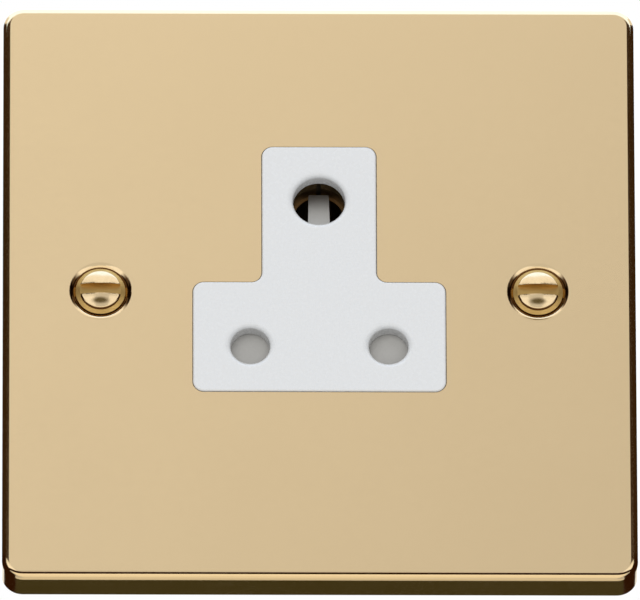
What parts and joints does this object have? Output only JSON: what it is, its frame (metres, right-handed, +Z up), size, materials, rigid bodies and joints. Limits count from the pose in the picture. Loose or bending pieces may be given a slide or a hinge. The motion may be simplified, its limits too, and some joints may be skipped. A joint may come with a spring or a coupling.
{
  "type": "round pin socket outlet",
  "caption": "Single wall socket for a round pin plug: pressed brass plate, white insert with three holes and a sprung shutter behind them.",
  "frame": {"origin": "middle of the plate in the wall plane, which is the back edge of the plate's rim", "axes": "+Z up, +Y into the wall, +X to the right as seen from the front"},
  "size_m": [0.0874, 0.025, 0.0874],
  "materials": {
    "polished_brass": "polished",
    "screw_brass": "polished",
    "white_moulding": "gloss",
    "shutter_moulding": "matte",
    "rear_moulding": "matte",
    "contact_brass": "drawn",
    "spring_steel": "drawn",
    "plated_steel": "zinc plated",
    "nylon": "matte"
  },
  "bodies": {
    "socket": {"front_plate": "polished_brass", "fixing_screws": "screw_brass", "screw_retainers": "nylon", "front_moulding": "white_moulding", "shutter_spring": "spring_steel", "rear_moulding": "rear_moulding", "live_contact": "contact_brass", "neutral_contact": "contact_brass", "earth_contact": "contact_brass", "live_contact_clip": "spring_steel", "neutral_contact_clip": "spring_steel", "earth_contact_clip": "spring_steel", "live_terminal": "contact_brass", "neutral_terminal": "contact_brass", "earth_terminal": "contact_brass", "terminal_screws": "plated_steel", "housing_screws": "plated_steel", "plate_studs": "contact_brass", "stud_washers": "plated_steel", "stud_nuts": "plated_steel", "earth_strap": "contact_brass"},
    "sliding_shutter": {"shutter": "shutter_moulding"}
  },
  "joints": [
    {"name": "shutter_slide", "type": "slide", "parent": "socket", "child": "sliding_shutter", "axis": [0, 0, -1], "range_m": [0, 0.0072], "stiffness_N_per_m": 50, "springref_m": -0.007, "deforming": ["shutter_spring"]}
  ]
}
